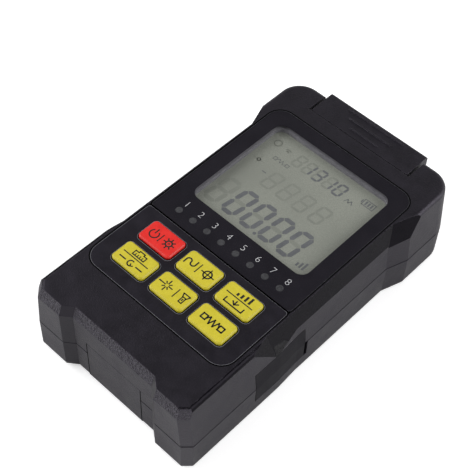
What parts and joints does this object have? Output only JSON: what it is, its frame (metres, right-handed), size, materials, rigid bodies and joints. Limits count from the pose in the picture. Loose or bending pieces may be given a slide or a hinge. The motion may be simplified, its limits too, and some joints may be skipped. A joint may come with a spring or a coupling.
{
  "type": "optical power meter",
  "caption": "Handheld optical power meter with display, six keys, ferrule ports under a hinged flap, a side network jack with rubber cover, and a sliding battery door.",
  "frame": {"origin": "centre of the underside of the bounding box; the meter lies on its back", "axes": "+Z out of the front face, +X to the reader's right, +Y towards the end with the optical ports"},
  "size_m": [0.0702, 0.123, 0.033],
  "materials": {
    "case_black": "fine-grained black moulded plastic",
    "cover_rubber": "smooth black rubber",
    "panel_black": "satin black panel",
    "lens_clear": "clear window with a black printed border",
    "key_red": "matte red key cap",
    "key_yellow": "matte yellow key cap",
    "lamp_clear": "clear light guide",
    "board_green": "green circuit board",
    "display_grey": "grey-green liquid crystal glass",
    "holder_white": "white display holder",
    "part_black": "black moulding",
    "cell_wrap": "printed cell wrap",
    "contact_nickel": "nickel-plated spring steel",
    "steel": "plain steel",
    "port_nickel": "nickel-plated port",
    "brass": "brass laser housing"
  },
  "bodies": {
    "case": {"case_screw_1": "steel", "case_screw_2": "steel", "case_screw_3": "steel", "case_screw_4": "steel", "cell_1": "cell_wrap", "cell_2": "cell_wrap", "contact_bridge": "contact_nickel", "contact_minus": "contact_nickel", "contact_plus": "contact_nickel", "display_glass": "display_grey", "display_holder": "holder_white", "display_lens": "lens_clear", "front_shell": "case_black", "hinge_pin": "steel", "indicator_lamp_1": "lamp_clear", "indicator_lamp_2": "lamp_clear", "indicator_lamp_3": "lamp_clear", "indicator_lamp_4": "lamp_clear", "indicator_lamp_5": "lamp_clear", "indicator_lamp_6": "lamp_clear", "indicator_lamp_7": "lamp_clear", "indicator_lamp_8": "lamp_clear", "keypad_panel": "panel_black", "laser_module": "brass", "laser_port": "port_nickel", "main_board": "board_green", "meter_port": "port_nickel", "network_jack": "part_black", "photodiode": "steel", "port_block": "part_black", "rear_shell": "case_black", "spring_1": "contact_nickel", "spring_2": "contact_nickel", "switch_light": "part_black", "switch_mode": "part_black", "switch_power": "part_black", "switch_store": "part_black", "switch_trace": "part_black", "switch_wavelength": "part_black", "torch_lamp": "lamp_clear"},
    "key_power": {"button_power": "key_red"},
    "key_wavelength": {"button_wavelength": "key_yellow"},
    "key_store": {"button_store": "key_yellow"},
    "key_mode": {"button_mode": "key_yellow"},
    "key_light": {"button_light": "key_yellow"},
    "key_trace": {"button_trace": "key_yellow"},
    "flap": {"port_flap": "case_black"},
    "cover": {"side_cover": "cover_rubber"},
    "door": {"battery_door": "case_black"}
  },
  "joints": [
    {"name": "press_power", "type": "slide", "parent": "case", "child": "key_power", "axis": [0, 0, -1], "range_m": [0, 0.0008], "stiffness_N_per_m": 1500, "springref_m": -0.001},
    {"name": "press_wavelength", "type": "slide", "parent": "case", "child": "key_wavelength", "axis": [0, 0, -1], "range_m": [0, 0.0008], "stiffness_N_per_m": 1500, "springref_m": -0.001},
    {"name": "press_store", "type": "slide", "parent": "case", "child": "key_store", "axis": [0, 0, -1], "range_m": [0, 0.0008], "stiffness_N_per_m": 1500, "springref_m": -0.001},
    {"name": "press_mode", "type": "slide", "parent": "case", "child": "key_mode", "axis": [0, 0, -1], "range_m": [0, 0.0008], "stiffness_N_per_m": 1500, "springref_m": -0.001},
    {"name": "press_light", "type": "slide", "parent": "case", "child": "key_light", "axis": [0, 0, -1], "range_m": [0, 0.0008], "stiffness_N_per_m": 1500, "springref_m": -0.001},
    {"name": "press_trace", "type": "slide", "parent": "case", "child": "key_trace", "axis": [0, 0, -1], "range_m": [0, 0.0008], "stiffness_N_per_m": 1500, "springref_m": -0.001},
    {"name": "flap_hinge", "type": "hinge", "parent": "case", "child": "flap", "pos_m": [0, 0.0573, 0.0044], "axis": [-1, 0, 0], "range_deg": [0, 90]},
    {"name": "cover_hinge", "type": "hinge", "parent": "case", "child": "cover", "pos_m": [0.033, -0.0327, 0.0141], "axis": [0, 0, -1], "range_deg": [0, 100]},
    {"name": "door_slide", "type": "slide", "parent": "case", "child": "door", "axis": [0, -1, 0], "range_m": [0, 0.052]}
  ]
}
